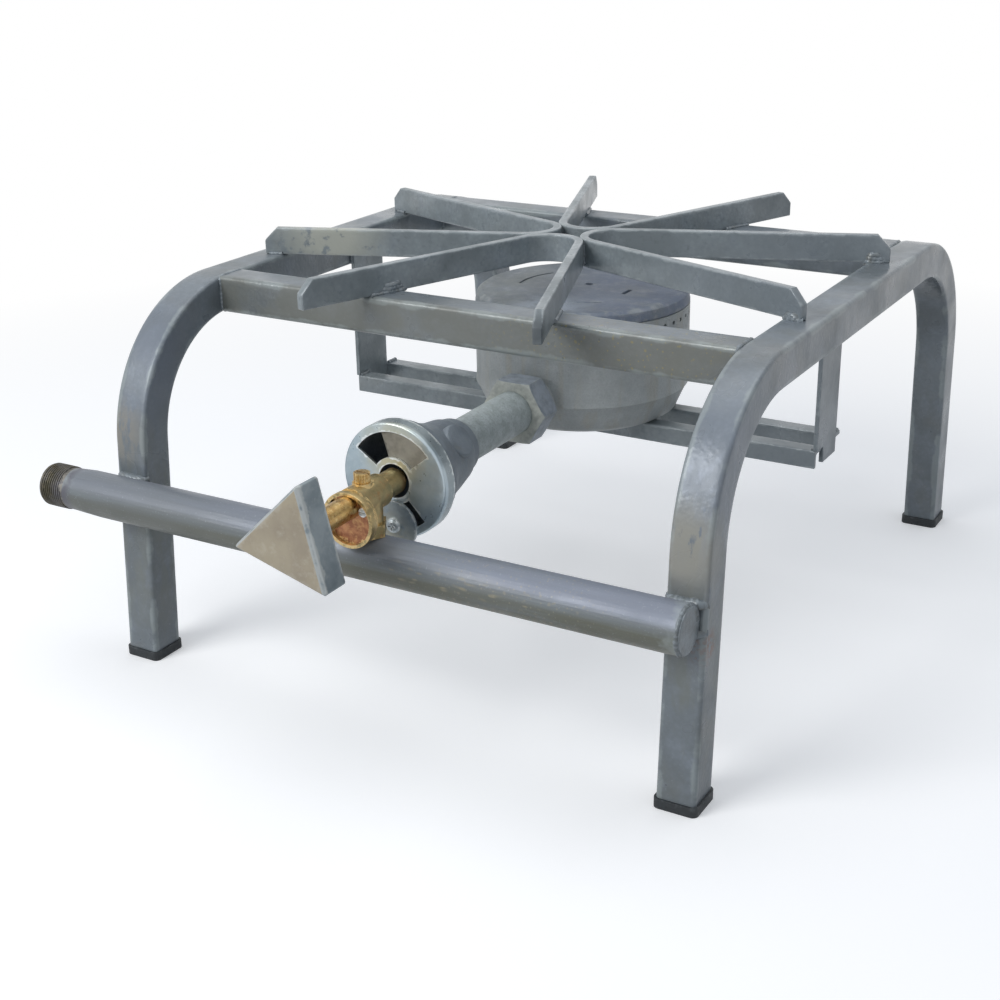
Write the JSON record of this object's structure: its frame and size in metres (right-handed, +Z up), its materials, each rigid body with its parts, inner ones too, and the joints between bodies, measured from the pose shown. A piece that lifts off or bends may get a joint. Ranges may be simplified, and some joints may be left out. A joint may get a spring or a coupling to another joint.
{
  "type": "single burner gas stove",
  "caption": "Low gas stove of bent square tube: a grate of bent flat bars over one cast burner, with an air shutter, a brass valve and a three-sided knob on a front pipe.",
  "frame": {"origin": "on the floor, under the middle of the box that holds the whole stove", "axes": "+X to the right seen from the knob, +Y from the knob towards the back, +Z up"},
  "size_m": [0.4736, 0.5964, 0.269],
  "materials": {
    "frame_paint": "hammered silver-grey paint, worn",
    "foot_plastic": "moulded, matte",
    "burner_iron": "cast, aluminium-painted",
    "pipe_steel": "rough silver paint",
    "bell_paint": "dark grey paint over a casting",
    "zinc_plate": "zinc plated, slightly yellow",
    "screw_steel": "plated",
    "valve_brass": "machined, tarnished",
    "knob_metal": "cast, satin"
  },
  "bodies": {
    "stove": {"left_side_frame": "frame_paint", "right_side_frame": "frame_paint", "front_cross_tube": "frame_paint", "rear_cross_tube": "frame_paint", "foot_cap_front_left": "foot_plastic", "foot_cap_front_right": "foot_plastic", "foot_cap_rear_left": "foot_plastic", "foot_cap_rear_right": "foot_plastic", "grate_bar_front": "frame_paint", "grate_bar_right": "frame_paint", "grate_bar_rear": "frame_paint", "grate_bar_left": "frame_paint", "hanger_strap_left": "frame_paint", "hanger_strap_right": "frame_paint", "hanger_rail_front": "frame_paint", "hanger_rail_rear": "frame_paint", "burner_body": "burner_iron", "inlet_hex_nut": "pipe_steel", "mixing_pipe": "pipe_steel", "venturi_bell": "bell_paint", "air_plate": "zinc_plate", "clamp_washer": "zinc_plate", "clamp_screw": "screw_steel", "gas_pipe": "frame_paint", "pipe_end_plug": "frame_paint", "valve_body": "valve_brass", "injector": "valve_brass", "valve_bonnet": "valve_brass", "bonnet_screws": "screw_steel"},
    "knob_and_plug": {"knob": "knob_metal", "valve_stem": "valve_brass", "valve_plug": "valve_brass", "plug_spring": "screw_steel"},
    "shutter": {"air_shutter": "zinc_plate"},
    "cap": {"burner_cap": "burner_iron"},
    "flame_screw": {"flow_screw": "valve_brass"}
  },
  "joints": [
    {"name": "valve_turn", "type": "hinge", "parent": "stove", "child": "knob_and_plug", "pos_m": [0.02125, -0.25719, 0.16], "axis": [0, 1, 0], "range_deg": [0, 90]},
    {"name": "shutter_turn", "type": "hinge", "parent": "stove", "child": "shutter", "pos_m": [0.02125, -0.18319, 0.16], "axis": [0, 1, 0], "range_deg": [-36, 36]},
    {"name": "cap_lift", "type": "slide", "parent": "stove", "child": "cap", "axis": [0, 0, 1], "range_m": [0, 0.024]},
    {"name": "flame_screw_turn", "type": "hinge", "parent": "stove", "child": "flame_screw", "pos_m": [0.02125, -0.22119, 0.171], "axis": [0, 0, 1], "range_deg": [-90, 270]}
  ]
}
